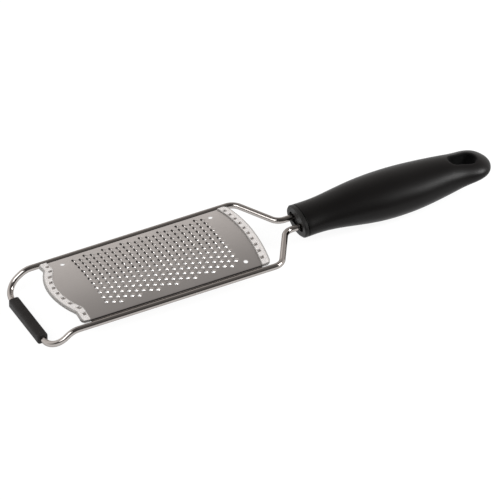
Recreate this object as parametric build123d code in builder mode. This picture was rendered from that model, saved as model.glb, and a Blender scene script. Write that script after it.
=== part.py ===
from build123d import *
import os
from math import asin, atan, degrees, pi, sqrt

os.makedirs("parts", exist_ok=True)

# A rasp zester for citrus peel and hard cheese. A bent wire frame carries an arched steel plate with
# punched teeth. Moulded trims cover the plate's two curved ends, a rubber sleeve on the frame's front
# bar is the foot, and both ends of the wire run into the plug that closes the handle.
# Millimetres. X runs from the foot to the handle's tail, Y to the left side, Z up from the table.
# The origin is on the table, in the middle of the whole length.

# Wire frame
wire_diameter = 4.0
rail_height = 14.5          # of the wire's centre line above the table
foot_run = 14.6             # along X, while the wire dips from the rails to the foot
front_rail = 14.0           # straight rail in front of the plate
rear_rail = 12.9            # straight rail behind the plate
neck_run = 17.2             # along X, while the wires close in on the handle
neck_straight = 10.4        # parallel wires in front of the handle
neck_spacing = 10.8         # between the two wires where they enter the handle
wire_grip = 34.0            # length of each wire end inside the handle
foot_bend = 12.0            # bend radii of the wire's centre line
dip_bend = 12.0
shoulder_bend = 9.0
neck_bend = 8.0
weld_gap = 0.05             # between the plate's bent edges and the rails they are welded to

# Rasp plate
plate_length = 121.0
plate_width = 64.6
plate_thickness = 0.6
plate_rise = 1.9            # of the plate's edges above the wire's centre line
plate_crown = 3.4           # rise of the arch above its edges
edge_depth = 3.5            # how far the two long edges are bent down
edge_bend = 1.2             # outer radius of that bend
tongue_reach = 3.6          # how far the steel reaches into the trims
tongue_inset = 3.4          # how much narrower it is there, on each side
front_arc_width = 42.0      # the front end bulges over this width, and is straight beside it
front_arc_rise = 7.4
rear_arc_rise = 2.9         # the rear end is one shallow arc over the whole width
pilot_diameter = 3.0
pilot_inset = 8.0           # of the pilot holes from the plate's ends
pilot_spread = 25.0         # of the pilot holes from the middle line

# Teeth
tooth_rows = 22
row_pitch = 4.355           # between rows, along X
tooth_pitch = 4.677         # between the teeth of a row; the next row is shifted by a third of it
teeth_field_width = 51.5    # across the plate, between the outermost teeth
field_front = 15.6          # from the plate's front end to the first row
field_shift = 1.2           # of the whole field towards the left edge
tooth_width = 2.7
tooth_height = 0.95
tooth_length = 3.1
tooth_wall = 0.3
tooth_root = 0.3            # how deep each tooth is rooted in the plate

# Trims
trim_reach = 6.3
trim_leaf = 0.8             # thickness above and below the steel
trim_play = 0.08            # between the trim's groove and the steel
trim_inset = 0.7            # of the trim's ends from the plate's long edges
trim_corner = 2.5
window_count = 10
window_pitch = 5.85
window_size = 2.5
window_reach = 1.9          # from the trim's inner edge to the middle of the windows

# Foot sleeve
sleeve_size = 7.2
sleeve_corner = 1.9
sleeve_length = 42.0
wire_play = 0.1             # radial, between the wire and whatever it passes through

# Handle
handle_length = 138.0
belly_width = 37.3
belly_drop = 0.45           # of the belly's middle below the wire's centre line; the belly lies on the table
collar_length = 2.6
collar_bevel = 0.9
collar_groove = 0.5         # shadow line between the collar and the handle
spigot_wall = 3.2           # of the handle around the plug's spigot
spigot_length = 40.0
spigot_play = 0.15
recess_width = 19.0
recess_height = 6.4
recess_depth = 1.4
hole_length = 18.3
hole_width = 11.4           # at its round rear end
hole_front_radius = 4.4
hole_setback = 10.0         # from the handle's tail to the hole

# Sections of the handle from its mouth to its tail: place along its length, then width and height as
# shares of the belly, then the rise of the section's middle as a share of the belly's drop.
handle_section_shares = (
    (0.000, 0.740, 0.634, 0.00),
    (0.045, 0.722, 0.648, 0.30),
    (0.090, 0.722, 0.668, 0.58),
    (0.180, 0.791, 0.755, 0.89),
    (0.280, 0.888, 0.896, 0.39),
    (0.380, 0.975, 0.973, -0.59),
    (0.480, 0.994, 0.999, -1.01),
    (0.580, 0.973, 0.952, -0.93),
    (0.680, 0.888, 0.877, -0.28),
    (0.770, 0.798, 0.769, 0.57),
    (0.840, 0.757, 0.631, 1.27),
    (0.900, 0.755, 0.517, 1.70),
    (0.945, 0.669, 0.411, 1.59),
    (0.972, 0.522, 0.286, 1.44),
    (0.989, 0.288, 0.155, 1.32),
    (1.000, 0.036, 0.046, 1.20),
)

overrun = 1.0               # how far a cutting shape reaches past what it cuts

# Places along X
frame_length = foot_run + front_rail + plate_length + rear_rail + neck_run + neck_straight
overall_length = sleeve_size / 2 + frame_length + handle_length
foot_x = (sleeve_size - overall_length) / 2
dip_x = foot_x + foot_run
plate_front_x = dip_x + front_rail
plate_rear_x = plate_front_x + plate_length
shoulder_x = plate_rear_x + rear_rail
neck_x = shoulder_x + neck_run
mouth_x = neck_x + neck_straight
tail_x = mouth_x + handle_length

# Places along Y and Z
wire_radius = wire_diameter / 2
plate_half = plate_width / 2
rail_y = plate_half + weld_gap + wire_radius
neck_y = neck_spacing / 2
foot_z = sleeve_size / 2
belly_height = 2 * (rail_height - belly_drop)
edge_z = rail_height + plate_rise
crown_z = edge_z + plate_crown
lip_half = plate_half - plate_thickness
lip_z = edge_z - edge_depth
handle_front_x = mouth_x + collar_length + collar_groove
mouth_width = belly_width * handle_section_shares[0][1]
mouth_height = belly_height * handle_section_shares[0][2]
spigot_width = mouth_width - 2 * spigot_wall
spigot_height = mouth_height - 2 * spigot_wall


def arc_radius(width, rise):
    """Radius of an arc, from the width and the rise of its bulge."""
    return ((width / 2) ** 2 + rise**2) / (2 * rise)


def arch_height(across):
    """Height of the steel's upper face above the table: a parabola across the plate."""
    return crown_z - plate_crown * (across / plate_half) ** 2


def arch_curve(half_width, raised):
    """The same parabola over a given half width, raised by a given height."""
    ends_z = arch_height(half_width) + raised
    return Bezier((-half_width, ends_z), (0, 2 * (crown_z + raised) - ends_z), (half_width, ends_z))


# Each end of the plate: the plane at its straight line, with X outwards, then its arc's radius and rise
front_end = (
    Plane(origin=(plate_front_x, 0, 0), x_dir=(-1, 0, 0), z_dir=(0, 0, 1)),
    arc_radius(front_arc_width, front_arc_rise),
    front_arc_rise,
)
rear_end = (
    Plane(origin=(plate_rear_x, 0, 0), x_dir=(1, 0, 0), z_dir=(0, 0, 1)),
    arc_radius(plate_width, rear_arc_rise),
    rear_arc_rise,
)


def end_plan(end, reach, half_width, back, corner=0):
    """Plan of what lies up to a given reach past an end's line: a straight strip joined to a round bulge."""
    plane, radius, rise = end
    with BuildSketch(plane) as plan:
        with Locations((rise - radius, 0)):
            Circle(radius + reach)
        with Locations(((reach - back) / 2, 0)):
            Rectangle(reach + back, 2 * half_width)
        with Locations(((rise + reach - back) / 2, 0)):
            Rectangle(rise + reach + back, 2 * half_width, mode=Mode.INTERSECT)
        if corner:
            sides = plan.vertices().group_by(Axis.Y)
            fillet([side.sort_by(Axis.X)[-1] for side in (sides[0], sides[-1])], corner)
    return plan.sketch


def arched_slab(plan, lower, upper):
    """Slab with the given plan between two heights above the steel's arched upper face."""
    with BuildPart() as slab:
        extrude(plan, amount=crown_z + upper + overrun)
        with BuildSketch(Plane.YZ.offset(foot_x)):
            with BuildLine():
                top = arch_curve(plate_half, upper)
                bottom = arch_curve(plate_half, lower)
                Line(bottom @ 0, top @ 0)
                Line(bottom @ 1, top @ 1)
            make_face()
        extrude(amount=tail_x - foot_x, mode=Mode.INTERSECT)
    return slab.part


# Wire frame: one bent wire, from inside the handle round the foot and back
with BuildPart() as wire_frame:
    half_route = (
        (mouth_x + wire_grip, neck_y, rail_height),
        (neck_x, neck_y, rail_height),
        (shoulder_x, rail_y, rail_height),
        (dip_x, rail_y, rail_height),
        (foot_x, rail_y, foot_z),
    )
    half_bends = (neck_bend, shoulder_bend, dip_bend, foot_bend)
    with BuildLine() as wire_route:
        FilletPolyline(
            *half_route,
            *((x, -y, z) for x, y, z in reversed(half_route)),
            radius=(*half_bends, *reversed(half_bends)),
        )
    with BuildSketch(Plane(origin=wire_route.wire() @ 0, z_dir=wire_route.wire() % 0)):
        Circle(wire_radius)
    sweep(path=wire_route.wire())
wire_frame.part.label = "wire_frame"
print("wire volume over section times length:",
      wire_frame.part.volume / (pi * wire_radius**2 * wire_route.wire().length))
export_step(wire_frame.part, "parts/wire_frame.step")

# Tooth: a pointed scoop, highest at its cutting front, and the hollow punched through the plate under it
with BuildPart() as tooth_scoop:
    root_share = 1 + tooth_root / tooth_height
    ConvexPolyhedron(
        (
            (0, -tooth_width / 2 * root_share, -tooth_root),
            (0, tooth_width / 2 * root_share, -tooth_root),
            (0, 0, tooth_height),
            (tooth_length * root_share, 0, -tooth_root),
        )
    )

with BuildPart() as tooth_hollow:
    hollow_floor = -plate_thickness - tooth_wall
    ConvexPolyhedron(
        (
            (0, -tooth_width / 2, hollow_floor),
            (0, tooth_width / 2, hollow_floor),
            (0, 0, tooth_height - tooth_wall),
            (tooth_length - tooth_wall, 0, hollow_floor),
        )
    )

# Each row starts a third of a pitch further in than the next, and every tooth leans with the arch
tooth_places = []
for row in range(tooth_rows):
    start = (2 - row) % 3 * tooth_pitch / 3
    for column in range(int((teeth_field_width - start) / tooth_pitch) + 1):
        across = start + column * tooth_pitch - teeth_field_width / 2 + field_shift
        along = plate_front_x + field_front + row * row_pitch
        lean = degrees(atan(-2 * plate_crown * across / plate_half**2))
        tooth_places.append(Location((along, across, arch_height(across)), (lean, 0, 0)))
print("teeth:", len(tooth_places))

# Rasp plate: arched sheet with two bent edges, a tongue at each end that the trims cover, and the teeth
front_tongue, rear_tongue = (
    arched_slab(end_plan(end, tongue_reach, plate_half - tongue_inset, trim_reach), -plate_thickness, 0)
    for end in (front_end, rear_end)
)
with BuildPart() as rasp_plate:
    with BuildSketch(Plane.YZ.offset(plate_front_x)):
        with BuildLine():
            top = arch_curve(plate_half, 0)
            bottom = arch_curve(lip_half, -plate_thickness)
            for side, top_end, bottom_end in ((-1, top @ 0, bottom @ 0), (1, top @ 1, bottom @ 1)):
                Polyline(top_end, (side * plate_half, lip_z), (side * lip_half, lip_z), bottom_end)
        make_face()
    extrude(amount=plate_length)
    fillet(rasp_plate.edges().filter_by(Axis.X).group_by(Axis.Z)[-2], edge_bend - plate_thickness)
    fillet(rasp_plate.edges().filter_by(Axis.X).group_by(Axis.Z)[-1], edge_bend)
    add([front_tongue, rear_tongue])
    with Locations(*tooth_places):
        add(tooth_scoop.part)
    with Locations(*tooth_places):
        add(tooth_hollow.part, mode=Mode.SUBTRACT)
    with Locations(
        (plate_front_x + pilot_inset, pilot_spread, crown_z),
        (plate_rear_x - pilot_inset, pilot_spread, crown_z),
        (plate_rear_x - pilot_inset, -pilot_spread, crown_z),
    ):
        Cylinder(pilot_diameter / 2, 2 * plate_crown, mode=Mode.SUBTRACT)
rasp_plate.part.label = "rasp_plate"
export_step(rasp_plate.part, "parts/rasp_plate.step")

# End trims: moulded strips with a groove for the plate's tongue and a row of small windows over it
for trim_name, end in (("front_edge_trim", front_end), ("rear_edge_trim", rear_end)):
    end_plane, end_radius, end_rise = end
    cover = arched_slab(
        end_plan(end, trim_reach, plate_half - trim_inset, trim_reach, trim_corner),
        -plate_thickness - trim_play - trim_leaf,
        trim_play + trim_leaf,
    )
    steel_side = arched_slab(
        end_plan(end, 0, plate_half, trim_reach + overrun),
        -plate_thickness - trim_play - trim_leaf - overrun,
        trim_play + trim_leaf + overrun,
    )
    groove = arched_slab(
        end_plan(end, tongue_reach + trim_play, plate_half - tongue_inset + trim_play, trim_reach),
        -plate_thickness - trim_play,
        trim_play,
    )
    window_places = []
    for window in range(window_count):
        across = (window - (window_count - 1) / 2) * window_pitch
        on_arc = end_rise - end_radius + sqrt((end_radius + window_reach) ** 2 - across**2)
        turn = degrees(asin(across / (end_radius + window_reach))) if on_arc > window_reach else 0
        height = arch_height(across) - plate_thickness / 2
        window_places.append(
            end_plane.location * Location((max(on_arc, window_reach), across, height), (0, 0, turn))
        )
    with BuildPart() as trim:
        add(cover)
        add([steel_side, groove], mode=Mode.SUBTRACT)
        with Locations(*window_places):
            Box(
                window_size,
                window_size,
                plate_thickness + trim_leaf + overrun,
                align=(Align.CENTER, Align.CENTER, Align.MIN),
                mode=Mode.SUBTRACT,
            )
    trim.part.label = trim_name
    export_step(trim.part, f"parts/{trim_name}.step")

# Foot sleeve: soft square tube on the frame's front bar
with BuildPart() as foot_sleeve:
    with BuildSketch(Plane.XZ):
        with Locations((foot_x, foot_z)):
            RectangleRounded(sleeve_size, sleeve_size, sleeve_corner)
            Circle(wire_radius + wire_play, mode=Mode.SUBTRACT)
    extrude(amount=sleeve_length / 2, both=True)
foot_sleeve.part.label = "foot_sleeve"
export_step(foot_sleeve.part, "parts/foot_sleeve.step")

# Handle: full belly, slim flat tail with a hanging hole, and a deep socket for the plug
with BuildPart() as handle:
    for place_share, width_share, height_share, rise_share in handle_section_shares:
        place = handle_front_x + place_share * (tail_x - handle_front_x)
        middle_z = rail_height + rise_share * belly_drop
        with BuildSketch(Plane(origin=(place, 0, middle_z), x_dir=(0, 1, 0), z_dir=(1, 0, 0))):
            Ellipse(belly_width * width_share / 2, belly_height * height_share / 2)
    loft()
    with BuildSketch(Plane(origin=(handle_front_x, 0, rail_height), x_dir=(0, 1, 0), z_dir=(1, 0, 0))):
        Ellipse(spigot_width / 2 + spigot_play, spigot_height / 2 + spigot_play)
    extrude(amount=spigot_length + spigot_play, mode=Mode.SUBTRACT)
    with BuildSketch():
        hole_rear_x = tail_x - hole_setback
        with Locations((hole_rear_x - hole_width / 2, 0)):
            Circle(hole_width / 2)
        with Locations((hole_rear_x - hole_length + hole_front_radius, 0)):
            Circle(hole_front_radius)
        make_hull()
    extrude(amount=2 * belly_height, mode=Mode.SUBTRACT)
handle.part.label = "handle"
export_step(handle.part, "parts/handle.step")

# Handle end plug: oval collar and a spigot that holds both wire ends
with BuildPart() as handle_end_plug:
    mouth_plane = Plane(origin=(mouth_x, 0, rail_height), x_dir=(0, 1, 0), z_dir=(1, 0, 0))
    with BuildSketch(mouth_plane):
        Ellipse(mouth_width / 2, mouth_height / 2)
    extrude(amount=collar_length)
    chamfer(handle_end_plug.edges().sort_by(Axis.X)[0], collar_bevel)
    with BuildSketch(mouth_plane.offset(collar_length)):
        Ellipse(spigot_width / 2, spigot_height / 2)
    extrude(amount=collar_groove + spigot_length)
    with BuildSketch(mouth_plane):
        SlotOverall(recess_width, recess_height)
    extrude(amount=recess_depth, mode=Mode.SUBTRACT)
    with BuildSketch(mouth_plane):
        with Locations((-neck_y, 0), (neck_y, 0)):
            Circle(wire_radius + wire_play)
    extrude(amount=wire_grip + wire_play, mode=Mode.SUBTRACT)
handle_end_plug.part.label = "handle_end_plug"
export_step(handle_end_plug.part, "parts/handle_end_plug.step")
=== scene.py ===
from math import acos, atan, ceil, cos, pi, radians, sin, sqrt, tan

import bpy
import numpy as np
from bpy.props import FloatProperty, FloatVectorProperty, IntProperty, PointerProperty
from bpy.types import Operator, Panel, PropertyGroup
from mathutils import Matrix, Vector


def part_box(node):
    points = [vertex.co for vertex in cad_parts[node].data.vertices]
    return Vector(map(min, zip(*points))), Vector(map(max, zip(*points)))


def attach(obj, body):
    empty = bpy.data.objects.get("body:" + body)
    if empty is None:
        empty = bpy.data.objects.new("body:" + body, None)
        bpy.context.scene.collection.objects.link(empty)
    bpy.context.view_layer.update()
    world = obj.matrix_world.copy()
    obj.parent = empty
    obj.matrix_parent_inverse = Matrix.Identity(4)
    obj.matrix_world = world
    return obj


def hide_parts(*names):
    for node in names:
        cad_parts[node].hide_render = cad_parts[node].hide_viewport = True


bl_info = {
    "name": "Rasp zester",
    "version": (1, 0, 0),
    "blender": (4, 5, 0),
    "location": "3D View > Sidebar > Rasp Zester",
    "description": "Builds a hand-held rasp zester and a plain studio round its packed frame",
    "category": "Add Mesh",
}

# X runs from the foot to the handle's tail, Y to the left side and Z up from the table, in metres
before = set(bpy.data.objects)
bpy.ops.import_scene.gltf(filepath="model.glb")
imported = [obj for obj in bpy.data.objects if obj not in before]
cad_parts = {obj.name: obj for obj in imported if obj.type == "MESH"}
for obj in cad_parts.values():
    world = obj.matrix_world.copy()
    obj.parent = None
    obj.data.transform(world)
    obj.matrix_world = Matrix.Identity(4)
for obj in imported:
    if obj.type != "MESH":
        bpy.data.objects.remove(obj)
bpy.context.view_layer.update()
MM = 0.001


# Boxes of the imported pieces, which give every place and overall size below
def node_box(node):
    """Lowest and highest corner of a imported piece, as arrays."""
    low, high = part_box(node)
    return np.array(low), np.array(high)


wire_high = node_box("wire_frame")[1]
plate_low, plate_high = node_box("rasp_plate")
sleeve_low, sleeve_high = node_box("foot_sleeve")
handle_low, handle_high = node_box("handle")
plug_low = node_box("handle_end_plug")[0]


# Properties

def size_mm(name, description, default):
    """A length that a user may change: its default is given in millimetres, and it is kept in metres."""
    return FloatProperty(name=name, description=description, default=default * MM, min=0, unit="LENGTH", precision=5)


def colour_property(name, description, default):
    """A surface colour, without alpha."""
    return FloatVectorProperty(name=name, description=description, default=default, size=3, min=0, max=1,
                               subtype="COLOR")


class WireSettings(PropertyGroup):
    diameter: size_mm("Wire", "Diameter of the round wire", 4.0)
    neck_spacing: size_mm("Neck spacing", "Between the two wires where they enter the handle", 10.8)
    front_rail: size_mm("Front rail", "Straight rail in front of the plate", 14.0)
    rear_rail: size_mm("Rear rail", "Straight rail behind the plate", 12.9)
    neck_straight: size_mm("Neck", "Parallel wires in front of the handle", 10.4)
    neck_bend: size_mm("Neck bend", "Bend radius at the neck", 8.0)
    shoulder_bend: size_mm("Shoulder bend", "Bend radius behind the plate", 9.0)
    dip_bend: size_mm("Dip bend", "Bend radius where the wire dips to the foot", 12.0)
    foot_bend: size_mm("Foot bend", "Bend radius at the foot's corners", 12.0)
    colour: colour_property("Wire colour", "Colour of the polished wire", (0.46, 0.43, 0.41))


class PlateSettings(PropertyGroup):
    length: size_mm("Length", "Length of the plate between its straight ends", 121.0)
    thickness: size_mm("Thickness", "Thickness of the steel", 0.6)
    crown: size_mm("Crown", "Rise of the arch above the plate's edges", 3.4)
    edge_rise: size_mm("Edge rise", "Height of the edges above the wire's middle", 1.9)
    edge_bend: size_mm("Edge bend", "Outer radius of the bent edges", 1.2)
    tongue_reach: size_mm("Tongue", "How far the steel reaches into the trims", 3.6)
    tongue_inset: size_mm("Tongue inset", "How much narrower the steel is there", 3.4)
    front_arc_width: size_mm("Front arc", "Width of the front end's bulge", 42.0)
    front_arc_rise: size_mm("Front bulge", "Rise of the front end's bulge", 7.4)
    rear_arc_rise: size_mm("Rear bulge", "Rise of the rear end's shallow arc", 2.9)
    slot_margin: size_mm("Slot margin", "Flat steel kept round each punched slot", 0.2)
    pilot_diameter: size_mm("Pilot holes", "Diameter of the three pilot holes", 3.0)
    pilot_inset: size_mm("Pilot inset", "Of the pilot holes from the plate's ends", 8.0)
    pilot_spread: size_mm("Pilot spread", "Of the pilot holes from the middle line", 25.0)
    colour: colour_property("Steel colour", "Colour of the satin steel", (0.60, 0.575, 0.56))


class TeethSettings(PropertyGroup):
    rows: IntProperty(name="Rows", description="Rows of teeth along the plate", default=22, min=1)
    row_pitch: size_mm("Row pitch", "Between the rows", 4.355)
    tooth_pitch: size_mm("Tooth pitch", "Between the teeth of a row", 4.677)
    field_width: size_mm("Field width", "Between the outermost teeth", 51.5)
    field_front: size_mm("Field front", "From the plate's front end to the first row", 15.6)
    field_shift: size_mm("Field shift", "Of the whole field towards the left edge", 1.2)
    width: size_mm("Tooth width", "Width of a tooth's mouth", 2.95)
    height: size_mm("Tooth height", "Height of the cutting edge above the steel", 0.95)
    length: size_mm("Tooth length", "From the cutting edge to the tooth's tail", 3.05)
    slot: size_mm("Slot", "How far the punched hole reaches in front of the edge", 1.0)
    wall: size_mm("Tooth wall", "Thickness of the raised steel", 0.3)
    burr: size_mm("Burr", "How far each slot's edge is pressed down below the steel", 1.35)


class HandleSettings(PropertyGroup):
    belly_width: size_mm("Belly width", "Width of the handle at its fullest", 37.3)
    belly_height: size_mm("Belly height", "Height of the handle at its fullest", 28.1)
    belly_middle: size_mm("Belly middle", "Height of the wire's middle over the table", 14.5)
    hole_length: size_mm("Hole length", "Length of the hanging hole", 18.3)
    hole_rear_radius: size_mm("Hole rear", "Radius of the hole's rear end", 5.7)
    hole_front_radius: size_mm("Hole front", "Radius of the hole's front end", 4.4)
    hole_setback: size_mm("Hole setback", "From the tail to the hole", 10.0)
    hole_rim: size_mm("Hole rim", "Radius of the hole's rounded rim", 1.5)
    tail_length: size_mm("Tail", "Length of the flat tail round the hole", 36.0)
    mouth_rim: size_mm("Mouth rim", "Radius of the rounded edge at the mouth", 0.5)
    pocket_width: size_mm("Pocket width", "Width of the socket for the plug", 21.5)
    pocket_height: size_mm("Pocket height", "Height of the socket for the plug", 11.7)
    pocket_depth: size_mm("Pocket depth", "Depth of the socket for the plug", 40.15)
    colour: colour_property("Handle colour", "Colour of the soft-touch moulding", (0.0042, 0.0037, 0.0036))


class TrimSettings(PropertyGroup):
    reach: size_mm("Reach", "How far the trims reach past the plate's ends", 6.3)
    leaf: size_mm("Leaf", "Thickness of the plastic above and below the steel", 0.8)
    play: size_mm("Play", "Between the groove and the steel", 0.08)
    inset: size_mm("Inset", "Of the trims' ends from the plate's long edges", 0.7)
    corner: size_mm("Corner", "Radius of the trims' outer corners", 2.5)
    nose: size_mm("Nose", "Rounding of the outer edge", 0.75)
    window_pitch: size_mm("Window pitch", "Between the small windows", 5.85)
    window_size: size_mm("Window", "Size of the small windows", 2.5)
    window_reach: size_mm("Window reach", "From the inner edge to the windows' middle", 1.9)
    windows: IntProperty(name="Windows", description="Small windows in each trim", default=10, min=2)
    colour: colour_property("Trim colour", "Colour of the milky plastic", (0.70, 0.675, 0.66))


class SleeveSettings(PropertyGroup):
    corner: size_mm("Corner", "Radius of the sleeve's long corners", 1.9)
    rim: size_mm("Rim", "Rounding of the sleeve's ends", 0.9)
    play: size_mm("Play", "Between the wire and the sleeve's bore", 0.1)
    colour: colour_property("Rubber colour", "Colour of the rubber", (0.0125, 0.0105, 0.0098))


class StudioSettings(PropertyGroup):
    floor_size: size_mm("Floor", "Half size of the floor", 6000.0)
    target: FloatVectorProperty(name="Target", description="Point in the middle of the picture", size=3,
                                default=(-9.8 * MM, -9.4 * MM, 12.0 * MM), unit="LENGTH")
    direction: FloatVectorProperty(name="Direction", description="From the target to the camera", size=3,
                                   default=(-0.3526, -0.6949, 0.6265), subtype="DIRECTION")
    distance: size_mm("Distance", "From the target to the camera", 10000.0)
    view_width: size_mm("View width", "Width of the picture at the target", 317.5)


SETTINGS = {
    "zester_wire": WireSettings,
    "zester_plate": PlateSettings,
    "zester_teeth": TeethSettings,
    "zester_handle": HandleSettings,
    "zester_trims": TrimSettings,
    "zester_sleeve": SleeveSettings,
    "zester_studio": StudioSettings,
}


# Shapes as whole arrays

def stacked(*parts):
    """Arrays brought to one shape and put side by side on a new last axis, as points or as faces."""
    return np.stack(np.broadcast_arrays(*parts), axis=-1)


def grid_faces(rows, columns, wrap_rows=False, wrap_columns=False):
    """Quads of a grid of points numbered row by row; a wrapped direction joins its last line to its first."""
    row = np.arange(rows if wrap_rows else rows - 1)[:, None]
    column = np.arange(columns if wrap_columns else columns - 1)[None, :]
    next_row, next_column = (row + 1) % rows, (column + 1) % columns
    return stacked(row * columns + column, row * columns + next_column,
                   next_row * columns + next_column, next_row * columns + column).reshape(-1, 4)


def smooth_through(places, values, at):
    """The natural cubic spline through a table: its second derivatives solve the usual tridiagonal equations."""
    places, values, at = (np.asarray(a, float) for a in (places, values, at))
    gap, rise = np.diff(places), np.diff(values)
    size = len(places)
    matrix, right = np.eye(size), np.zeros(size)
    inner = np.arange(1, size - 1)
    matrix[inner, inner - 1] = gap[:-1] / 6
    matrix[inner, inner] = (gap[:-1] + gap[1:]) / 3
    matrix[inner, inner + 1] = gap[1:] / 6
    right[inner] = rise[1:] / gap[1:] - rise[:-1] / gap[:-1]
    bend = np.linalg.solve(matrix, right)
    span = np.clip(np.searchsorted(places, at) - 1, 0, size - 2)
    ahead, behind = (places[span + 1] - at) / gap[span], (at - places[span]) / gap[span]
    curve = ((ahead**3 - ahead) * bend[span] + (behind**3 - behind) * bend[span + 1]) * gap[span] ** 2 / 6
    return ahead * values[span] + behind * values[span + 1] + curve


def bent_path(corners, radii, step=radians(5)):
    """Points of a polyline whose corners are arcs: each runs from the incoming direction to the outgoing one."""
    corners = np.asarray(corners, float)
    points = [corners[:1]]
    for before, corner, after, radius in zip(corners[:-2], corners[1:-1], corners[2:], radii):
        incoming = (corner - before) / np.linalg.norm(corner - before)
        outgoing = (after - corner) / np.linalg.norm(after - corner)
        turn = acos(np.clip(incoming @ outgoing, -1, 1))
        inward = outgoing - (incoming @ outgoing) * incoming
        inward /= np.linalg.norm(inward)
        start = corner - incoming * radius * tan(turn / 2)
        angle = np.linspace(0, turn, ceil(turn / step) + 1)[:, None]
        points.append(start + radius * (np.sin(angle) * incoming + (1 - np.cos(angle)) * inward))
    points.append(corners[-1:])
    return np.concatenate(points)


def swept_tube(path, radius, sides):
    """Circles carried along a path, square to it, with flat closed ends."""
    tangent = np.gradient(path, axis=0)
    tangent /= np.linalg.norm(tangent, axis=1, keepdims=True)
    aside = np.cross(tangent, (0, 0, 1))
    aside /= np.linalg.norm(aside, axis=1, keepdims=True)
    upward = np.cross(aside, tangent)
    angle = 2 * pi * np.arange(sides) / sides
    rings = (path[:, None] + radius * (np.cos(angle)[None, :, None] * aside[:, None]
                                       + np.sin(angle)[None, :, None] * upward[:, None]))
    count = len(path)
    faces = grid_faces(count, sides, wrap_columns=True)[:, ::-1].tolist()
    faces.append(list(range(sides)))
    faces.append(list(range(count * sides - 1, (count - 1) * sides - 1, -1)))
    return rings.reshape(-1, 3), faces


def quarter_turn(count):
    """Angles from nothing to a quarter turn."""
    return np.linspace(0, pi / 2, count)


def ring_quads(outer, inner):
    """Quads between closed loops of point numbers and the loops inside them."""
    return stacked(outer, np.roll(outer, -1, axis=-1), np.roll(inner, -1, axis=-1), inner).reshape(-1, 4)


def arc_radius(width, rise):
    """Radius of the circle whose arc has a given width and rise."""
    return ((width / 2) ** 2 + rise**2) / (2 * rise)


def boundary_walls(faces, offset):
    """Quads between the open edges of one sheet and the same edges of its copy, numbered further by an offset."""
    edges = stacked(faces, np.roll(faces, -1, axis=1)).reshape(-1, 2)
    edges = edges[edges[:, 0] != edges[:, 1]]
    size = edges.max() + 1
    forward, backward = edges[:, 0] * size + edges[:, 1], edges[:, 1] * size + edges[:, 0]
    a, b = edges[~np.isin(forward, backward)].T
    return stacked(b, a, a + offset, b + offset)


def build_piece(name, points, faces, node, material, crease=radians(32), values=None):
    """A finished piece on the frame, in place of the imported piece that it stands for.

    It is smooth but for edges sharper than the crease, and its values are numbers for every point.
    """
    mesh = bpy.data.meshes.new(name)
    mesh.from_pydata(np.asarray(points).tolist(), [], [list(face) for face in faces])
    if mesh.validate():
        raise RuntimeError(f"{name} has faces that aren't sound")
    mesh.shade_smooth()
    mesh.set_sharp_from_angle(angle=crease)
    for key, array in (values or {}).items():
        attribute = mesh.attributes.new(key, "FLOAT", "POINT")
        attribute.data.foreach_set("value", np.asarray(array, np.float32))
    piece = bpy.data.objects.new(name, mesh)
    bpy.context.scene.collection.objects.link(piece)
    mesh.materials.append(material)
    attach(piece, "root")
    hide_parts(node)
    return piece


# Materials

RELIEF_DEPTH = 0.02 * MM


def add_node(tree, kind, inputs, **settings):
    """A shader node with its settings. Each input is set to a plain value or joined to another node's output."""
    node = tree.nodes.new("ShaderNode" + kind)
    for name, value in settings.items():
        setattr(node, name, value)
    for name, value in inputs.items():
        if isinstance(value, bpy.types.NodeSocket):
            tree.links.new(value, node.inputs[name])
        else:
            node.inputs[name].default_value = value
    return node


def mix_colours(tree, share, low, high):
    """The colour between two at a share; a Mix node's colour sockets are its inputs 6 and 7 and its output 2."""
    return add_node(tree, "Mix", {"Factor": share, 6: low, 7: high}, data_type="RGBA").outputs[2]


def empty_tree(owner):
    """The node tree of a material or a world, with nothing in it."""
    owner.use_nodes = True
    owner.node_tree.nodes.clear()
    return owner.node_tree


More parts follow.
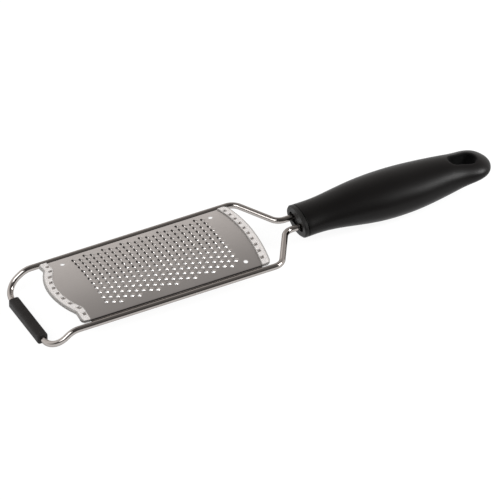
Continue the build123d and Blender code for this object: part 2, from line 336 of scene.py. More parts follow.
def mottle_group():
    """Soft and fine noise on Object coordinates, put out as a colour between two, a roughness and a height."""
    group = bpy.data.node_groups.get("mottle")
    if group:
        return group
    group = bpy.data.node_groups.new("mottle", "ShaderNodeTree")
    for name, kind, default in (
        ("Light Colour", "Color", (0.5, 0.5, 0.5, 1)),
        ("Dark Colour", "Color", (0.4, 0.4, 0.4, 1)),
        ("Low Roughness", "Float", 0.3),
        ("High Roughness", "Float", 0.4),
        ("Patch Scale", "Float", 60.0),
        ("Grain Scale", "Float", 1500.0),
        ("Stretch", "Vector", (1, 1, 1)),
    ):
        socket = group.interface.new_socket(name, in_out="INPUT", socket_type="NodeSocket" + kind)
        socket.default_value = default
    for name, kind in (("Colour", "Color"), ("Roughness", "Float"), ("Height", "Float")):
        group.interface.new_socket(name, in_out="OUTPUT", socket_type="NodeSocket" + kind)
    given, put = group.nodes.new("NodeGroupInput").outputs, group.nodes.new("NodeGroupOutput").inputs
    place = add_node(group, "TexCoord", {}).outputs["Object"]
    stretched = add_node(group, "VectorMath", {0: place, 1: given["Stretch"]}, operation="MULTIPLY")
    patches = add_node(group, "TexNoise", {"Detail": 3, "Vector": place, "Scale": given["Patch Scale"]})
    grain = add_node(group, "TexNoise", {
        "Detail": 4, "Vector": stretched.outputs["Vector"], "Scale": given["Grain Scale"]})
    half_grain = add_node(group, "Math", {0: grain.outputs["Fac"], 1: 0.5}, operation="MULTIPLY")
    noise = add_node(group, "Math", {0: patches.outputs["Fac"], 1: 0.5, 2: half_grain.outputs[0]},
                     operation="MULTIPLY_ADD")
    # The sum of both noises stays near its middle, so its range is stretched
    contrast = add_node(group, "MapRange", {"Value": noise.outputs[0], "From Min": 0.32, "From Max": 0.68})
    share = contrast.outputs["Result"]
    rough = add_node(group, "MapRange", {
        "Value": share, "To Min": given["High Roughness"], "To Max": given["Low Roughness"]})
    group.links.new(mix_colours(group, share, given["Dark Colour"], given["Light Colour"]), put["Colour"])
    group.links.new(rough.outputs["Result"], put["Roughness"])
    group.links.new(grain.outputs["Fac"], put["Height"])
    return group


def mottled(name, colour, shade, roughness, scales, bump, finish, stretch=(1, 1, 1)):
    """A material whose colour, roughness and fine relief come from the mottle group.

    Its finish is what is set on the shader itself. The material comes back with its tree, its shader and the group's
    outputs.
    """
    material = bpy.data.materials.new(name)
    tree = empty_tree(material)
    mottle = add_node(tree, "Group", {
        "Light Colour": (*colour, 1), "Dark Colour": (*(share * shade for share in colour), 1),
        "Low Roughness": roughness[0], "High Roughness": roughness[1],
        "Patch Scale": scales[0], "Grain Scale": scales[1], "Stretch": stretch,
    }, node_tree=mottle_group()).outputs
    relief = add_node(tree, "Bump", {"Strength": bump, "Distance": RELIEF_DEPTH, "Height": mottle["Height"]})
    shader = add_node(tree, "BsdfPrincipled", {
        "Base Color": mottle["Colour"], "Roughness": mottle["Roughness"], "Normal": relief.outputs["Normal"], **finish})
    add_node(tree, "OutputMaterial", {"Surface": shader.outputs["BSDF"]})
    return material, tree, shader, mottle


def tone_by(attribute, colour, tree, shader, mottle):
    """Draw the colour towards another where the piece's attribute is high, and give the attribute's output."""
    share = add_node(tree, "Attribute", {}, attribute_name=attribute).outputs["Fac"]
    tree.links.new(mix_colours(tree, share, mottle["Colour"], (*colour, 1)), shader.inputs["Base Color"])
    return share


def polished_wire(colour):
    """Polished stainless wire: mirror-like, with faint drawing marks and a little uneven polish."""
    finish = {"Metallic": 1, "Specular Tint": (0.30, 0.28, 0.27, 1)}
    return mottled("polished_wire", colour, 0.9, (0.08, 0.15), (90, 2600), 0.05, finish)[0]


def satin_steel(colour):
    """Satin stainless sheet: fine grain along the plate, with painted shade in the punched hollows and along the long
    edges.
    """
    material, *parts = mottled("satin_steel", colour, 0.93, (0.30, 0.38), (45, 2200), 0.12, {"Metallic": 1},
                               stretch=(0.12, 1, 1))
    # Painted shade: the attribute darkens the steel in the hollows and on the bent edges, where shade falls
    tone_by("painted_steel_shade", (0.045, 0.04, 0.038), *parts)
    return material


def milky_trim(colour):
    """Milky moulded plastic, a little translucent, with painted shade that greys it along its rounded edges."""
    finish = {"Subsurface Weight": 0.25, "Subsurface Radius": (1.0, 0.95, 0.9), "Subsurface Scale": 1.0 * MM}
    material, *parts = mottled("milky_trim", colour, 0.96, (0.25, 0.32), (120, 900), 0.04, finish)
    # Painted shade: the edge attribute greys the plastic at its bevels, its nose and in its groove
    tone_by("edge", (0.33, 0.32, 0.31), *parts)
    return material


def soft_rubber(colour):
    """Matt black rubber with a fine skin."""
    return mottled("soft_rubber", colour, 0.8, (0.5, 0.62), (250, 3500), 0.35, {"Specular IOR Level": 0.3})[0]


def soft_grip(colour):
    """Smooth soft-touch moulding: nearly black, with a satin sheen and a very fine grain; its hole has painted shade
    and is matt.
    """
    material, tree, shader, mottle = mottled(
        "soft_grip", colour, 0.85, (0.36, 0.42), (60, 4200), 0.15, {"Specular IOR Level": 0.18})
    # Painted shade: the inside attribute blackens the hanging hole's rounded rim and wall
    inside = tone_by("inside", (0.001, 0.001, 0.001), tree, shader, mottle)
    duller = add_node(tree, "Mix", {"Factor": inside, 2: mottle["Roughness"], 3: 1})
    tree.links.new(duller.outputs[0], shader.inputs["Roughness"])
    return material


def moulded_plastic():
    """Dark moulded plastic of the handle's plug."""
    return mottled("moulded_plastic", (0.009, 0.0086, 0.0082), 0.85, (0.42, 0.5), (150, 3000), 0.2,
                   {"Specular IOR Level": 0.25})[0]


# Operators

class ZESTER_OT_stage(Operator):
    """Make the floor, the soft studio light and the camera of the picture"""
    bl_idname = "zester.stage"
    bl_label = "Stage"

    # Soft lamps: name, direction, distance, size and power
    lamps = (
        ("key_light", (-0.66, -0.25, 0.71), 1.8, 1.1, 15),
        ("side_light", (0.74, -0.40, 0.54), 1.8, 0.6, 26),
        ("back_light", (-0.55, 0.80, 0.50), 2.0, 3.0, 10),
    )
    # Greys of the studio from the floor to overhead, behind the object and on the camera's side
    greys_behind = ((0.0, 0.92), (0.375, 0.76), (0.63, 0.56), (0.81, 0.31), (1.0, 0.14))
    greys_before = ((0.0, 0.26), (0.25, 0.10), (0.6, 0.06), (1.0, 0.10))
    # Share of red, green and blue in each grey
    warmth = np.array((1, 0.955, 0.925))

    def execute(self, context):
        studio = context.scene.zester_studio
        half = studio.floor_size
        mesh = bpy.data.meshes.new("floor")
        mesh.from_pydata([(-half, -half, 0), (half, -half, 0), (half, half, 0), (-half, half, 0)], [],
                         [(0, 1, 2, 3)])
        floor = bpy.data.objects.new("floor", mesh)
        context.scene.collection.objects.link(floor)
        mesh.materials.append(self.floor_material())
        for name, towards, away, size, power in self.lamps:
            lamp = bpy.data.lights.new(name, "AREA")
            lamp.shape, lamp.size, lamp.energy = "SQUARE", size, power
            place = away * Vector(towards).normalized()
            self.aim(context, name, lamp, place, place)
        self.world(context, studio)
        # A long lens at the photograph's angle
        lens = bpy.data.cameras.new("camera")
        lens.sensor_width = 36
        lens.lens = lens.sensor_width * studio.distance / studio.view_width
        lens.clip_end = 3 * studio.distance
        towards = Vector(studio.direction).normalized()
        place = Vector(studio.target) + studio.distance * towards
        context.scene.camera = self.aim(context, "camera", lens, place, towards)
        context.scene.view_settings.view_transform = "Standard"
        return {"FINISHED"}

    @staticmethod
    def aim(context, name, data, place, towards):
        """A lamp or a camera at a place, looking back along a direction."""
        holder = bpy.data.objects.new(name, data)
        holder.location = place
        holder.rotation_euler = (-towards).to_track_quat("-Z", "Y").to_euler()
        context.scene.collection.objects.link(holder)
        return holder

    @staticmethod
    def floor_material():
        """White seen by the camera and in reflections, with the object's shadow kept; plain white for the light."""
        material = bpy.data.materials.new("floor")
        tree = empty_tree(material)
        plain = add_node(tree, "BsdfDiffuse", {"Color": (0.8, 0.8, 0.8, 1)})
        shadow_keeper = add_node(tree, "BsdfDiffuse", {"Color": (0.12, 0.12, 0.12, 1)})
        glow = add_node(tree, "Emission", {"Strength": 0.93})
        seen = add_node(tree, "AddShader", {0: shadow_keeper.outputs[0], 1: glow.outputs[0]})
        path = add_node(tree, "LightPath", {}).outputs
        direct = path["Is Camera Ray"]
        for ray in ("Is Glossy Ray", "Is Transmission Ray"):
            direct = add_node(tree, "Math", {0: direct, 1: path[ray]}, operation="MAXIMUM").outputs[0]
        surface = add_node(tree, "MixShader", {0: direct, 1: plain.outputs[0], 2: seen.outputs[0]})
        add_node(tree, "OutputMaterial", {"Surface": surface.outputs[0]})
        return material

    def world(self, context, studio):
        """A studio that is pale behind the object and low down, and dark overhead and on the camera's side."""
        world = bpy.data.worlds.new("studio")
        context.scene.world = world
        tree = empty_tree(world)
        place = add_node(tree, "TexCoord", {}).outputs["Generated"]
        height = add_node(tree, "SeparateXYZ", {0: place}).outputs["Z"]
        front = Vector(studio.direction)
        front.z = 0
        nearness = add_node(tree, "VectorMath", {0: place, 1: front.normalized()}, operation="DOT_PRODUCT")
        # The greys change over between a little behind the object's sides and a third of the way to the camera
        turn = add_node(tree, "MapRange", {"Value": nearness.outputs["Value"], "From Min": -0.25, "From Max": 0.5})
        colour = mix_colours(tree, turn.outputs["Result"], self.ramp(tree, height, self.greys_behind),
                             self.ramp(tree, height, self.greys_before))
        background = add_node(tree, "Background", {"Color": colour})
        add_node(tree, "OutputWorld", {"Surface": background.outputs[0]})

    def ramp(self, tree, height, stops):
        """A colour ramp of warm greys."""
        node = add_node(tree, "ValToRGB", {"Fac": height})
        elements = node.color_ramp.elements
        for position, _ in stops[2:]:
            elements.new(position)
        for element, (position, grey) in zip(elements, stops):
            element.position = position
            element.color = (*(grey * self.warmth), 1)
        return node.outputs["Color"]


class ZESTER_OT_wire(Operator):
    """Bend the wire frame from one length of round wire"""
    bl_idname = "zester.wire"
    bl_label = "Wire frame"

    # Flat sides round the wire
    sides = 32

    def execute(self, context):
        wire = context.scene.zester_wire
        radius = wire.diameter / 2
        rail_z = wire_high[2] - radius
        foot_x, foot_z = (sleeve_low[0] + sleeve_high[0]) / 2, (sleeve_low[2] + sleeve_high[2]) / 2
        rail_y = wire_high[1] - radius
        neck_y = wire.neck_spacing / 2
        plate = context.scene.zester_plate
        plate_front = plate_front_line(context)
        shoulder_x = plate_front + plate.length + wire.rear_rail
        half_route = (
            (wire_high[0], neck_y, rail_z),
            (plug_low[0] - wire.neck_straight, neck_y, rail_z),
            (shoulder_x, rail_y, rail_z),
            (plate_front - wire.front_rail, rail_y, rail_z),
            (foot_x, rail_y, foot_z),
        )
        half_bends = (wire.neck_bend, wire.shoulder_bend, wire.dip_bend, wire.foot_bend)
        route = (*half_route, *((x, -y, z) for x, y, z in reversed(half_route)))
        path = bent_path(route, (*half_bends, *reversed(half_bends)))
        points, faces = swept_tube(path, radius, self.sides)
        build_piece("wire_frame_polished", points, faces, "wire_frame",
                    polished_wire(wire.colour))
        return {"FINISHED"}


def plate_front_line(context):
    """Place along X of the plate's straight front end, before its bulge."""
    plate = context.scene.zester_plate
    return plate_high[0] - plate.tongue_reach - plate.rear_arc_rise - plate.length


def plate_edge_height(context):
    """Height of the plate's long edges over the table, where they start to bend down."""
    return wire_high[2] - context.scene.zester_wire.diameter / 2 + context.scene.zester_plate.edge_rise


class ZESTER_OT_plate(Operator):
    """Arch the steel sheet, bend its long edges down and punch its teeth and pilot holes"""
    bl_idname = "zester.plate"
    bl_label = "Rasp plate"

    # Corners of a block of three by three cells, counter-clockwise from the middle of a tooth's tail
    block_lines = np.array((3, 3, 3, 2, 1, 0, 0, 0, 0, 1, 2, 3))
    block_columns = np.array((1, 2, 3, 3, 3, 3, 2, 1, 0, 0, 0, 0))
    # Painted shade of a long edge, from the foot of its lip to the top of its bend; one line gets half of it and shows
    # lighter
    lip_painted_shades = np.array((1, 0, 0, 0, 0.5, 1, 1, 1))
    # Weakest painted shade in the hollows, towards the near edge, where they are painted lighter as if they caught more
    # light
    least_hollow_shade = 0.3

    def execute(self, context):
        plate, teeth = context.scene.zester_plate, context.scene.zester_teeth
        self.plate, self.teeth = plate, teeth
        self.half, self.front = plate_high[1], plate_front_line(context)
        self.edge_z = plate_edge_height(context)
        self.third, self.step = teeth.tooth_pitch / 3, teeth.row_pitch / 3
        self.lead = teeth.slot + plate.slot_margin
        self.steps = int(teeth.field_width / self.third)
        self.first = teeth.field_shift - teeth.field_width / 2
        self.columns()
        self.lines()
        count, width = self.along.shape
        upper = stacked(self.along, self.across, self.height)
        lower = upper - plate.thickness * stacked(0, self.aside, self.upward)
        cells = np.ones((count - 1, width - 1), bool)
        beyond = np.abs(self.across[:-1] + self.across[1:]) / 2 > self.half - plate.tongue_inset
        cells[:2, beyond] = cells[-2:, beyond] = False
        loops = [self.tooth_loops(cells, width), self.pilot_loops(cells, width)]
        numbers = np.arange(count * width).reshape(count, width)
        quads = stacked(numbers[:-1, :-1], numbers[1:, :-1], numbers[1:, 1:], numbers[:-1, 1:])[cells]
        faces, uppers, lowers = [quads], [upper.reshape(-1, 3)], [lower.reshape(-1, 3)]
        lip = np.concatenate([self.lip_painted_shades, np.zeros(width - 2 * len(self.lip_painted_shades)), self.lip_painted_shades[::-1]])
        # Painted shade of the steel, for the upper and the lower face of the sheet
        dark_above, dark_below = [np.tile(lip, count)], [np.tile(lip, count)]
        for outline, rings in loops:
            for above, below, shade in rings:
                inner = sum(map(len, uppers)) + np.arange(above[..., 0].size).reshape(outline.shape)
                faces.append(ring_quads(outline, inner))
                uppers.append(above.reshape(-1, 3))
                lowers.append(below.reshape(-1, 3))
                dark_above.append((0 * above[..., 0] + shade[0]).ravel())
                dark_below.append((0 * above[..., 0] + shade[1]).ravel())
                outline = inner
        used, faces = np.unique(np.concatenate(faces), return_inverse=True)
        faces, size = faces.reshape(-1, 4), len(used)
        points = np.concatenate([np.concatenate(uppers)[used], np.concatenate(lowers)[used]])
        faces = np.concatenate([faces, faces[:, ::-1] + size, boundary_walls(faces, size)])
        dark = np.concatenate([np.concatenate(dark_above)[used], np.concatenate(dark_below)[used]])
        build_piece("rasp_plate_punched", points, faces.tolist(), "rasp_plate",
                    # The attribute carries the painted shade of the hollows and long edges
                    satin_steel(plate.colour), values={"painted_steel_shade": dark})
        return {"FINISHED"}

    def columns(self):
        """Columns across the plate, with their heights and outward normals.

        The middle is the parabola crown * (1 - (y / half)^2). Where its slope meets the bend, an arc of the bend's
        radius turns it down to the straight lip.
        """
        plate, half = self.plate, self.half
        bend_middle = half - plate.edge_bend
        lean = atan(2 * plate.crown * bend_middle / half**2)
        lean = atan(2 * plate.crown * (bend_middle + plate.edge_bend * sin(lean)) / half**2)
        joint = bend_middle + plate.edge_bend * sin(lean)
        bend_z = self.edge_z + plate.crown * (1 - (joint / half) ** 2) - plate.edge_bend * cos(lean)
        angle = np.linspace(lean, pi / 2, 7)[1:]
        drop = np.linspace(bend_z, plate_low[2], 3)[1:]
        side_y = np.concatenate([bend_middle + plate.edge_bend * np.sin(angle), np.full(2, half)])
        side_z = np.concatenate([bend_z + plate.edge_bend * np.cos(angle), drop])
        side_lean = np.concatenate([angle, np.full(2, pi / 2)])
        tongue = half - plate.tongue_inset
        lattice = self.first + self.third * np.arange(-2, self.steps + 3)
        middle = np.concatenate([(-joint, -(joint + tongue) / 2, -tongue), lattice, (joint,)])
        self.first_column = len(side_y) + 3
        self.across = np.concatenate([-side_y[::-1], middle, side_y])
        middle_z = self.edge_z + plate.crown * (1 - (middle / half) ** 2)
        self.height = np.concatenate([side_z[::-1], middle_z, side_z])
        turn = np.concatenate([-side_lean[::-1], np.arctan(2 * plate.crown * middle / half**2), side_lean])
        self.aside, self.upward = np.sin(turn), np.cos(turn)

    def lines(self):
        """Lines across the plate: both ends bulge by circles, and the rest runs straight across."""
        plate, teeth, step = self.plate, self.teeth, self.step
        front, rear = self.front, self.front + plate.length
        reach = np.linspace(plate.tongue_reach, 0, 3)[:, None]
        bulges = []
        for width, rise in ((plate.front_arc_width, plate.front_arc_rise), (2 * self.half, plate.rear_arc_rise)):
            radius = arc_radius(width, rise)
            circle = np.sqrt(np.maximum((radius + reach) ** 2 - self.across**2, 0)) + rise - radius
            bulges.append(np.maximum(reach, circle))
        block = step * np.array((-1.5, -0.5, 0.5, 1.5))
        front_block, rear_block = front + plate.pilot_inset + block, rear - plate.pilot_inset + block
        field = front + teeth.field_front - self.lead + step * np.arange(3 * teeth.rows + 1)
        share = np.arange(1, 3)[:, None] / 3
        # Numbers of the first lines of the front pilot hole's block, the tooth field and the rear holes' block
        self.front_block, self.field = 5, 11
        self.rear_block = self.field + len(field)
        row = np.ones_like(self.across)
        front_end, rear_end = front - bulges[0], (rear + bulges[1])[::-1]
        self.along = np.concatenate([
            front_end,
            front_end[-1] + share * (front_block[0] - front_end[-1]),
            front_block[:, None] * row,
            (front_block[-1] + share * (field[0] - front_block[-1])) * row,
            field[:, None] * row,
            rear_block[:, None] * row,
            rear_block[-1] + share * (rear_end[0] - rear_block[-1]),
            rear_end,
        ])

    def on_arch(self, x, y, rise):
        """Points a given rise square above the arch's upper face."""
        slope = 2 * self.plate.crown * y / self.half**2
        length = np.sqrt(1 + slope**2)
        z = self.edge_z + self.plate.crown * (1 - (y / self.half) ** 2)
        return stacked(x, y + rise * slope / length, z + rise / length)

    def clear_block(self, cells, width, line, column):
        """Take three by three cells out of the grid, and give the numbers of the corners round them."""
        inside = np.arange(3)
        cells[line[:, None, None] + inside[:, None], column[:, None, None] + inside] = False
        return (line[:, None] + self.block_lines) * width + column[:, None] + self.block_columns

    def tooth_loops(self, cells, width):
        """Loops of every tooth: its foot on the plate, and its mouth with the slot in front of it.

        Round an angle from the tail, the foot is the drop (length * cos^1.5, half * sin) behind the edge and the
        slot's oval in front of it. The mouth stands up behind it as the arch (0, half * sin, height * cos^1.2), and
        below the steel the slot's edge is pressed down by the burr, most at its two sides. The hollows' painted shade
        fades from the plate's middle line to the near edge, where they are painted lighter.
        """
        plate, teeth = self.plate, self.teeth
        row = np.arange(teeth.rows)[:, None]
        place = (2 - row) % 3 + 3 * np.arange(self.steps // 3 + 1)
        row, place = (a[place <= self.steps] for a in np.broadcast_arrays(row, place))
        outline = self.clear_block(cells, width, self.field + 3 * row, self.first_column + place + 1)
        edge_x = self.front + teeth.field_front + teeth.row_pitch * row[:, None]
        middle_y = (self.first + self.third * place)[:, None]
        angle = np.concatenate([np.linspace(0, pi, 8)[:-1], np.linspace(pi, 2 * pi, 6)[:-1]])
        behind, before, side = np.maximum(np.cos(angle), 0), np.maximum(-np.cos(angle), 0), np.sin(angle)
        half, wall, margin = teeth.width / 2, teeth.wall, plate.slot_margin / 2
        foot = teeth.length * behind**1.5 - (teeth.slot + margin) * before
        inner_foot = (teeth.length - wall) * behind**1.5 - (teeth.slot + margin) * before
        mouth = -teeth.slot * before
        arch = behind**1.2
        inner_arch = (teeth.height - wall) * arch - (plate.thickness + teeth.burr) * (1 - arch)
        flank = -plate.thickness - teeth.burr * np.abs(side)
        # Painted shade of the hollows: full over the far half, lighter towards the near edge
        shade = np.clip(1 + 2 * middle_y / self.half, self.least_hollow_shade, 1) + 0 * behind
        mouth_half = half - margin
        return outline, (
            (self.on_arch(edge_x + foot, middle_y + half * side, 0 * behind),
             self.on_arch(edge_x + inner_foot, middle_y + (half - wall * behind) * side, flank),
             (0, shade)),
            (self.on_arch(edge_x + mouth, middle_y + mouth_half * side, teeth.height * arch),
             self.on_arch(edge_x + mouth, middle_y + (mouth_half - wall * behind) * side, inner_arch),
             ((1 - arch) * shade, shade)),
        )

    def pilot_loops(self, cells, width):
        """Circles of the three pilot holes."""
        plate = self.plate
        spread = np.array((1, 1, -1)) * plate.pilot_spread
        column = np.rint((spread - self.first) / self.third - 1.5).astype(int) + 2 + self.first_column
        line = np.array((self.front_block, self.rear_block, self.rear_block))
        outline = self.clear_block(cells, width, line, column)
        middle_x = self.front + np.array((plate.pilot_inset, *(2 * [plate.length - plate.pilot_inset])))[:, None]
        angle = pi / 6 * (np.arange(12) - 0.5)
        x = middle_x + plate.pilot_diameter / 2 * np.cos(angle)
        y = spread[:, None] + plate.pilot_diameter / 2 * np.sin(angle)
        return outline, ((self.on_arch(x, y, 0 * x), self.on_arch(x, y, -plate.thickness), (0, 0)),)


class ZESTER_OT_sleeve(Operator):
    """Mould the square rubber sleeve round the frame's front bar"""
    bl_idname = "zester.sleeve"
    bl_label = "Foot sleeve"

    def execute(self, context):
        """Each ring is a rounded square, drawn in along a quarter circle at the ends, or the round bore."""
        sleeve = context.scene.zester_sleeve
        half, middle = (sleeve_high - sleeve_low) / 2, (sleeve_high + sleeve_low) / 2
        turn = quarter_turn(9)
        angle = (turn + pi / 2 * np.arange(4)[:, None]).ravel()
        quarter = (pi / 4 + pi / 2 * np.arange(4)).repeat(len(turn))
        corner_x, corner_z = (sqrt(2) * (half[0] - sleeve.corner) * f(quarter) for f in (np.cos, np.sin))
        inset = sleeve.rim * (1 - np.cos(quarter_turn(6)))
        reach = half[1] - sleeve.rim + sleeve.rim * np.sin(quarter_turn(6))
        inset = np.concatenate([inset[::-1], inset])[:, None]
        along = np.concatenate([-reach[::-1], reach])
        radius = sleeve.corner - inset
        outer_x, outer_z = corner_x + radius * np.cos(angle), corner_z + radius * np.sin(angle)
        bore = context.scene.zester_wire.diameter / 2 + sleeve.play
        round_to = np.arctan2(outer_z[0], outer_x[0])
        bore_x, bore_z = bore * np.cos(round_to), bore * np.sin(round_to)
        x = np.concatenate([outer_x, [bore_x, bore_x]])
        z = np.concatenate([outer_z, [bore_z, bore_z]])
        y = np.concatenate([along, (reach[-1], -reach[-1])])
        points = middle + stacked(x, y[:, None], z)
        faces = grid_faces(*x.shape, wrap_rows=True, wrap_columns=True)[:, ::-1]
        build_piece("foot_sleeve_moulded", points.reshape(-1, 3), faces.tolist(), "foot_sleeve",
                    soft_rubber(sleeve.colour))
        return {"FINISHED"}


class ZESTER_OT_trims(Operator):
    """Mould the two milky end trims, with the groove for the steel and the row of small windows"""
    bl_idname = "zester.trims"
    bl_label = "End trims"

    def execute(self, context):
        plate = context.scene.zester_plate
        front = plate_front_line(context)
        material = milky_trim(context.scene.zester_trims.colour)
        for name, end, turned, width, rise in (
            ("front_edge_trim", front, -1, plate.front_arc_width, plate.front_arc_rise),
            ("rear_edge_trim", front + plate.length, 1, 2 * plate_high[1], plate.rear_arc_rise),
        ):
            points, faces, edge = self.trim(context, end, turned, arc_radius(width, rise), rise)
            # The edge values carry the trim's painted edge shade
            build_piece(f"{name}_moulded", points, faces, name, material, values={"edge": edge})
        return {"FINISHED"}

    def trim(self, context, end, turned, radius, rise):
        """A closed profile carried across the plate's end, with small windows left open in its upper leaf.

        Each line of it lies at its reach beside the bulge, and at rise - radius + sqrt((radius + reach)^2 - y^2)
        on it.
        """
        trims, plate = context.scene.zester_trims, context.scene.zester_plate
        half = plate_high[1]
        reach, height, edge, window_rows = self.profile(trims, plate)
        places = (np.arange(trims.windows) - (trims.windows - 1) / 2) * trims.window_pitch
        gap = trims.window_pitch - trims.window_size
        steps = trims.window_size / 2 + np.concatenate([(-trims.window_size,), gap * np.arange(4) / 4])
        windows = (places[:, None] + steps).ravel()
        tongue = half - plate.tongue_inset
        corner_start = half - trims.inset - trims.corner
        ends = corner_start + trims.corner * np.sin(np.linspace(pi / 10, pi / 2, 5))
        ends = np.concatenate([(tongue + trims.play, tongue + 2 * trims.play), ends])
        across = np.concatenate([-ends[::-1], windows[windows < tongue], ends])
        # The groove ends beside the tongue, between the two lines that lie one and two plays past it
        past_groove = np.abs(across) > tongue + 1.5 * trims.play
        in_groove = (reach > plate.tongue_reach) & (np.abs(height + plate.thickness / 2) < plate.thickness)
        reach = np.where(in_groove[:, None] & past_groove, trims.play, reach[:, None])
        most = trims.reach - trims.corner + np.sqrt(
            np.maximum(trims.corner**2 - np.maximum(np.abs(across) - corner_start, 0) ** 2, 0))
        # Lines that reach further out than this are drawn in round the outer corners
        keep = trims.reach - 1.05 * trims.corner
        reach = np.where(reach > keep, keep + (reach - keep) * (most - keep) / (trims.reach - keep), reach)
        out = np.maximum(reach, rise - radius + np.sqrt((radius + reach) ** 2 - across**2))
        z = plate_edge_height(context) + plate.crown * (1 - (across / half) ** 2) + height[:, None]
        points = stacked(end + turned * out, across, z)
        rows, columns = reach.shape
        numbers = np.arange(rows * columns).reshape(rows, columns)
        ahead = np.roll(numbers, -1, axis=0)
        quads = stacked(numbers[:, :-1], ahead[:, :-1], ahead[:, 1:], numbers[:, 1:])
        # A cell is open where its middle is a window's middle
        middle = (across[:-1] + across[1:]) / 2
        open_columns = np.abs(middle[:, None] - places).min(axis=1) < trims.window_size / 8
        cells = np.ones((rows, columns - 1), bool)
        cells[np.ix_(window_rows, open_columns)] = False
        above, below = quads[window_rows[0], open_columns], quads[window_rows[1], open_columns][:, (1, 0, 3, 2)]
        faces = np.concatenate([quads[cells], ring_quads(above, below)])
        caps = [numbers[::-1, 0], numbers[:, -1]]
        if turned < 0:
            faces, caps = faces[:, ::-1], [cap[::-1] for cap in caps]
        faces = [*faces.tolist(), *(cap.tolist() for cap in caps)]
        return points.reshape(-1, 3), faces, np.repeat(edge, columns)

    @staticmethod
    def profile(trims, plate):
        """Points of the profile: its reach, its height over the steel, its share of painted edge shade, and its two
        open rows.
        """
        top, bottom = trims.play + trims.leaf, -plate.thickness - trims.play - trims.leaf
        near, far = (trims.window_reach + side * trims.window_size / 2 for side in (-1, 1))
        # The inner edges have a small bevel, and the outer edge is two quarter circles
        soft, nose = trims.leaf / 4, trims.nose
        quarter = quarter_turn(5)
        groove = plate.tongue_reach + trims.play
        rows = [(0, top - soft, 1), (soft, top, 1), (near, top, 0), (far, top, 0),
                (trims.reach - 1.8 * nose, top, 0)]
        rows += [(trims.reach - nose + nose * sin(a), top - nose + nose * cos(a), 1) for a in quarter]
        rows += [(trims.reach - nose + nose * cos(a), bottom + nose - nose * sin(a), 1) for a in quarter]
        rows += [(soft, bottom, 0), (0, bottom + soft, 1), (0, -plate.thickness - trims.play, 1),
                 (groove, -plate.thickness - trims.play, 0), (groove, trims.play, 0),
                 (far, trims.play, 0), (near, trims.play, 0), (0, trims.play, 1)]
        reach, height, edge = np.array(rows).T
        return reach, height, edge, (2, len(rows) - 3)


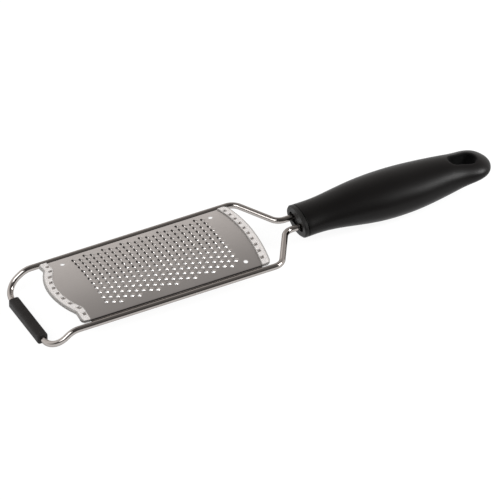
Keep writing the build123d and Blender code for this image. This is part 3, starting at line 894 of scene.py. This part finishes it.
class ZESTER_OT_handle(Operator):
    """Mould the handle: a full belly, a slim flat tail with its hanging hole, and the socket for the plug"""
    bl_idname = "zester.handle"
    bl_label = "Handle"

    # Place along the handle, width and height as shares of the belly, and height of the middle in millimetres
    # above the wire's middle
    section_shares = np.array((
        (0.000, 0.740, 0.634, 0.00), (0.045, 0.722, 0.648, 0.14), (0.090, 0.722, 0.668, 0.26),
        (0.180, 0.791, 0.755, 0.40), (0.280, 0.888, 0.896, 0.18), (0.380, 0.975, 0.973, -0.27),
        (0.480, 0.994, 0.998, -0.45), (0.580, 0.973, 0.952, -0.42), (0.680, 0.888, 0.877, -0.13),
        (0.770, 0.798, 0.769, 0.26), (0.840, 0.757, 0.631, 0.57), (0.900, 0.755, 0.517, 0.77),
        (0.945, 0.669, 0.411, 0.72), (0.972, 0.522, 0.286, 0.65), (0.989, 0.330, 0.178, 0.59),
        (1.000, 0.000, 0.000, 0.54),
    ))
    # Points round the body and on each of the hanging hole's two circles, and the angle of an edge that stays sharp
    around = 64
    hole_points = 90
    crease = radians(50)

    def execute(self, context):
        handle = context.scene.zester_handle
        self.handle = handle
        turn = 2 * pi * np.arange(self.around) / self.around
        x, wide, high, middle = self.rings()
        body = stacked(x[:, None], wide[:, None] * np.cos(turn), middle[:, None] + high[:, None] * np.sin(turn))
        count = len(x)
        numbers = np.arange(count * self.around).reshape(count, self.around)
        pole = count * self.around
        faces = [ring_quads(numbers[:-1], numbers[1:])]
        points = [body.reshape(-1, 3), [(x[0], 0, middle[0])]]
        socket_end = stacked(np.roll(numbers[0], -1), numbers[0], pole)
        # The tail's outline runs from the last ring round the end, and is shared by its upper and lower face
        half = self.around // 2
        cut = x[-1]
        swing = quarter_turn(25)[1:]
        side_x = cut + (handle_high[0] - cut) * np.sin(swing)
        side_y = self.section(side_x)[0]
        rim_x, rim_y = np.concatenate([side_x, side_x[-2::-1]]), np.concatenate([-side_y, side_y[-2::-1]])
        points.append(stacked(rim_x, rim_y, self.section(rim_x)[2]))
        rim = pole + 1 + np.arange(len(rim_x))
        size = pole + 1 + len(rim_x)
        ring = numbers[-1]
        ring_y = wide[-1] * np.cos(turn[:half + 1])
        plan = np.stack([np.concatenate([np.full(half + 1, cut), rim_x]), np.concatenate([ring_y, rim_y])])
        # The tail's points carry the hole's painted shade: none on its faces, rising over the rim to full on the hole's
        # wall
        last, inside = [], [np.zeros(size)]
        for sign, edge in ((1, ring[:half + 1]), (-1, np.concatenate([ring[:1], ring[:half - 1:-1]]))):
            loop = np.concatenate([edge, rim])
            for layer, hole_shade in self.tail_layers(plan, sign):
                inner = size + np.arange(len(loop))
                quads = ring_quads(loop, inner)
                faces.append(quads if sign > 0 else quads[:, ::-1])
                points.append(layer)
                inside.append(np.full(len(loop), hole_shade))
                size += len(loop)
                loop = inner
            last.append(loop)
        top, bottom = last
        faces.append(ring_quads(top, bottom))
        build_piece("handle_moulded", np.concatenate(points),
                    [*np.concatenate(faces).tolist(), *socket_end.tolist()],
                    "handle", soft_grip(handle.colour), crease=self.crease,
                    values={"inside": np.concatenate(inside)})
        return {"FINISHED"}

    def section(self, x):
        """Half width, half height and middle of the handle at places along X.

        Each square of a half size is the natural cubic spline through the sections' squares, so the tail closes
        round.
        """
        handle = self.handle
        share, width, height, rise = self.section_shares.T
        at = (np.asarray(x, float) - handle_low[0]) / (handle_high[0] - handle_low[0])
        wide = np.sqrt(np.maximum(smooth_through(share, width**2, at), 0)) * handle.belly_width / 2
        high = np.sqrt(np.maximum(smooth_through(share, height**2, at), 0)) * handle.belly_height / 2
        return wide, high, handle.belly_middle + smooth_through(share, rise, at) * MM

    def rings(self):
        """Places, half sizes and middles of the rings: up the socket, over the rounded mouth and along the body."""
        handle = self.handle
        front, cut = handle_low[0], handle_high[0] - handle.tail_length
        quarter = quarter_turn(5)
        lip_x = front + handle.mouth_rim * (1 - np.cos(quarter))
        body_x = np.linspace(lip_x[-1], cut, 46)[1:]
        x = np.concatenate([lip_x, body_x])
        wide, high, middle = self.section(x)
        drawn_in = np.concatenate([handle.mouth_rim * (1 - np.sin(quarter)), np.zeros(len(body_x))])
        socket_x = np.array((front + handle.pocket_depth, front))
        return (
            np.concatenate([socket_x, x]),
            np.concatenate([np.full(2, handle.pocket_width / 2), wide - drawn_in]),
            np.concatenate([np.full(2, handle.pocket_height / 2), high - drawn_in]),
            np.concatenate([np.full(2, middle[0]), middle]),
        )

    def hole_outline(self, angle, spread):
        """Distance from the hole's middle to its outline, grown by a spread, in given directions.

        The outline is two circles and the lines that touch both.
        """
        handle = self.handle
        rear = handle_high[0] - handle.hole_setback - handle.hole_rear_radius
        front = handle_high[0] - handle.hole_setback - handle.hole_length + handle.hole_front_radius
        touch = acos((handle.hole_rear_radius - handle.hole_front_radius) / (rear - front))
        count = self.hole_points
        arcs = ((rear, handle.hole_rear_radius, np.linspace(-touch, touch, count)),
                (front, handle.hole_front_radius, np.linspace(touch, 2 * pi - touch, count)))
        x = np.concatenate([place + (radius + spread) * np.cos(turn) for place, radius, turn in arcs])
        y = np.concatenate([(radius + spread) * np.sin(turn) for _, radius, turn in arcs])
        share = np.linspace(0, 1, 12)[1:-1]
        x, y = (np.concatenate([a, a[count - 1] + share * (a[count] - a[count - 1]), a[-1] + share * (a[0] - a[-1])])
                for a in (x, y))
        middle = (rear + front) / 2
        return middle, np.interp(angle, np.arctan2(y, x - middle), np.hypot(x - middle, y), period=2 * pi)

    def tail_layers(self, plan, sign):
        """Loops of the tail's upper or lower face, from its outline to the hole, over the hole's rounded rim.

        In plan each loop lies between the tail's outline and the hole's, along straight lines from the hole's
        middle. Its height is the middle plus or minus half height * sqrt(1 - (y / half width)^2).
        """
        rim = self.handle.hole_rim
        middle, _ = self.hole_outline(0, 0)
        angle = np.arctan2(plan[1], plan[0] - middle)
        shares = [(share, 0) for share in np.sin(np.linspace(pi / 2, 0, 12))[1:-1]]
        layers = []
        for share, turn in [*shares, *((0, turn) for turn in quarter_turn(6))]:
            distance = self.hole_outline(angle, rim * (1 - sin(turn)))[1]
            x, y = middle + distance * np.cos(angle), distance * np.sin(angle)
            x, y = x + share * (plan[0] - x), y + share * (plan[1] - y)
            wide, high, centre = self.section(x)
            swell = np.sqrt(np.maximum(1 - (y / wide) ** 2, 0))
            z = centre + sign * (high * swell - rim * (1 - cos(turn)))
            # Each loop carries its share of the hole's painted shade
            layers.append((stacked(x, y, z), sin(turn)))
        return layers


class ZESTER_PT_parts(Panel):
    """Sizes, colours and buttons of the zester's pieces"""
    bl_idname = "ZESTER_PT_parts"
    bl_label = "Rasp zester"
    bl_space_type = "VIEW_3D"
    bl_region_type = "UI"
    bl_category = "Rasp Zester"

    def draw(self, context):
        for operator, names in STEPS:
            box = self.layout.box()
            box.operator(operator.bl_idname)
            for name in names:
                settings = getattr(context.scene, name)
                for key in SETTINGS[name].__annotations__:
                    box.prop(settings, key)


# Operators in the order in which they run, each with the settings shown under it
STEPS = (
    (ZESTER_OT_stage, ("zester_studio",)),
    (ZESTER_OT_wire, ("zester_wire",)),
    (ZESTER_OT_plate, ("zester_plate", "zester_teeth")),
    (ZESTER_OT_trims, ("zester_trims",)),
    (ZESTER_OT_sleeve, ("zester_sleeve",)),
    (ZESTER_OT_handle, ("zester_handle",)),
)
CLASSES = [*SETTINGS.values(), *(operator for operator, _ in STEPS), ZESTER_PT_parts]


def register():
    for item in CLASSES:
        bpy.utils.register_class(item)
    for name, settings in SETTINGS.items():
        setattr(bpy.types.Scene, name, PointerProperty(type=settings))


def unregister():
    for name in SETTINGS:
        delattr(bpy.types.Scene, name)
    for item in reversed(CLASSES):
        bpy.utils.unregister_class(item)


def dress_node(node, material):
    """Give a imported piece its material."""
    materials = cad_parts[node].data.materials
    materials.clear()
    materials.append(material)


def main():
    """Build the whole zester and its studio."""
    register()
    bpy.ops.zester.stage()
    bpy.ops.zester.wire()
    bpy.ops.zester.plate()
    bpy.ops.zester.trims()
    bpy.ops.zester.sleeve()
    bpy.ops.zester.handle()
    dress_node("handle_end_plug", moulded_plastic())


if __name__ == "__main__":
    main()
